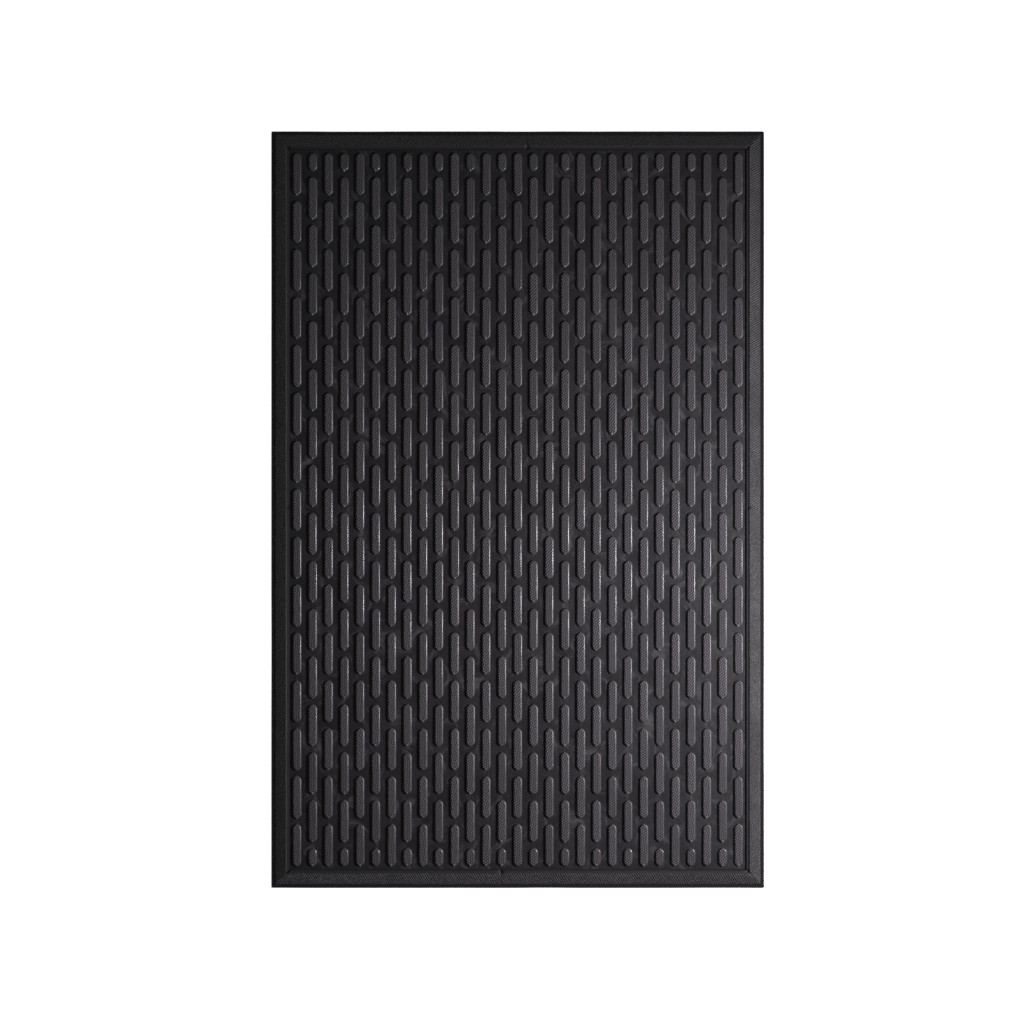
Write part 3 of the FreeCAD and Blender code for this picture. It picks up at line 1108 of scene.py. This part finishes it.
# %% Finish the border
def border_material():
    """Twill on the ramp, its ridges painted lighter as painted light, a smooth band inside it,
    and a wall down to the field, painted near black as painted shade.
    """
    material, tree, shader, place = start_material("border rubber", 0.42)
    on_ramp = smooth_range(tree, attribute(tree, "imprint"), 0.3, 0.8)
    wall = attribute(tree, "wall")
    grain = use_group(tree, grain_group, place, Size=GRAIN_SIZE, Depth=MOULD_GRAIN)
    dust = use_group(tree, dust_group, place, Smears=0.12, Specks=0.2)
    patches = grain.outputs["Patches"]
    twill = border_twill(tree, patches, on_ramp)
    # the ramp's ridges are painted lighter: painted light on the twill's relief
    ridge = times(tree, twill.outputs["Ridge"], on_ramp)
    ramp_colour = mix_colour(tree, ridge, RAMP_DARK, RAMP_RIDGE_PAINTED_LIGHT)
    # the wall is painted near black: painted shade at the foot of the border
    colour = mix_colour(tree, wall, mix_colour(tree, on_ramp, BAND, ramp_colour), WALL_PAINTED_SHADE)
    colour = mix_colour(tree, times(tree, dust.outputs["Dust"], on_ramp), colour, DUST)
    rough = border_roughness(tree, patches, on_ramp, wall)
    height = plus(tree, grain.outputs["Height"], twill.outputs["Height"])
    finish_material(tree, shader, colour, rough, height)
    return material


border_finish = border_material()
for strip in strips:
    strip.data.materials.append(border_finish)
print("border finished")

# %% [markdown]
# ## The studio
#
# The mat lies on a white floor. One soft light stands low at its right, a little towards
# the front, so that the right edge of every cleat shines and the left one drops into
# shade. The sky is dark overhead, pale near the horizon and dimmer towards the left. Seen
# from above, the rubber mirrors mostly the dark part overhead and looks black.

# %% The floor
FLOOR_SIZE = 12.0
FLOOR_DROP = 0.2 * MM
FLOOR_PAINT = (0.92, 0.92, 0.92, 1.0)
FLOOR_GLOW = 0.92
mesh = bpy.data.meshes.new("floor")
corners = np.array([(-1, -1), (1, -1), (1, 1), (-1, 1)]) * FLOOR_SIZE / 2
mesh.from_pydata(np.column_stack([corners, np.full(4, -FLOOR_DROP)]).tolist(), [], [(0, 1, 2, 3)])
floor = bpy.data.objects.new("floor", mesh)
bpy.context.scene.collection.objects.link(floor)
paint = bpy.data.materials.new("white floor")
paint.use_nodes = True
shader = paint.node_tree.nodes["Principled BSDF"]
shader.inputs["Base Color"].default_value = FLOOR_PAINT
shader.inputs["Roughness"].default_value = 0.9
shader.inputs["Specular IOR Level"].default_value = 0.2
shader.inputs["Emission Color"].default_value = (1.0, 1.0, 1.0, 1.0)
shader.inputs["Emission Strength"].default_value = FLOOR_GLOW
mesh.materials.append(paint)
print("floor:", FLOOR_SIZE, "m square")

# %% The sky
SKY_OVERHEAD = 0.105
SKY_HORIZON = 0.60
# how high up the sky reaches its overhead tone, as the sine of the height
SKY_TURN = 0.75
# strength at the far left, against 1 at the far right
SKY_LEFT = 0.40
world = bpy.data.worlds.new("studio")
bpy.context.scene.world = world
world.use_nodes = True
tree = world.node_tree
aim = tree.nodes.new("ShaderNodeTexCoord").outputs["Object"]
split = tree.nodes.new("ShaderNodeSeparateXYZ")
tree.links.new(aim, split.inputs[0])
ramp = tree.nodes.new("ShaderNodeValToRGB")
horizon, overhead = ramp.color_ramp.elements
horizon.color = (SKY_HORIZON, SKY_HORIZON, SKY_HORIZON, 1)
overhead.position = SKY_TURN
overhead.color = (SKY_OVERHEAD, SKY_OVERHEAD, SKY_OVERHEAD, 1)
tree.links.new(split.outputs[2], ramp.inputs[0])
tree.links.new(ramp.outputs[0], tree.nodes["Background"].inputs["Color"])
side = scaled(tree, split.outputs[0], (1 - SKY_LEFT) / 2, (1 + SKY_LEFT) / 2)
tree.links.new(side, tree.nodes["Background"].inputs["Strength"])
print("sky:", SKY_HORIZON, "at the horizon,", SKY_OVERHEAD, "overhead")

# %% The light
from mathutils import Vector

LAMP_COLOUR = (1.0, 0.955, 1.02)
KEY_PLACE = (0.92, -0.11, 0.63)
KEY_AIM = (0.05, -0.19, 0.0)
KEY_WIDTH, KEY_HEIGHT = 0.16, 0.34
KEY_POWER = 10.2
KEY_SPREAD = 120


def soft_light(name, place, aim, width, height, power, spread):
    """A rectangular area light at `place` that looks at `aim`; a grid narrows it to `spread`."""
    lamp = bpy.data.lights.new(name, "AREA")
    lamp.spread = np.radians(spread)
    lamp.shape = "RECTANGLE"
    lamp.size = width
    lamp.size_y = height
    lamp.energy = power
    lamp.color = LAMP_COLOUR
    light = bpy.data.objects.new(name, lamp)
    light.location = place
    light.rotation_euler = (Vector(aim) - Vector(place)).to_track_quat("-Z", "Y").to_euler()
    bpy.context.scene.collection.objects.link(light)
    return light


soft_light("key", KEY_PLACE, KEY_AIM, KEY_WIDTH, KEY_HEIGHT, KEY_POWER, KEY_SPREAD)
print("one key light")

# %% [markdown]
# ## The camera
#
# The camera looks straight down from well above, through a long lens, so the mat's sides
# stay parallel. It stands a few millimetres off the middle of the mat.

# %% The camera
VIEW_WIDTH = 1.2396
VIEW_CENTRE = (-6.3 * MM, -3.4 * MM)
camera_data = bpy.data.cameras.new("camera")
camera_data.lens = 100.0
camera_data.sensor_width = 36.0
camera = bpy.data.objects.new("camera", camera_data)
distance = VIEW_WIDTH * camera_data.lens / camera_data.sensor_width
camera.location = (*VIEW_CENTRE, distance + LIP_TOP)
bpy.context.scene.collection.objects.link(camera)
bpy.context.scene.camera = camera
bpy.context.scene.view_settings.view_transform = "Standard"
print(f"camera {distance:.2f} m up")
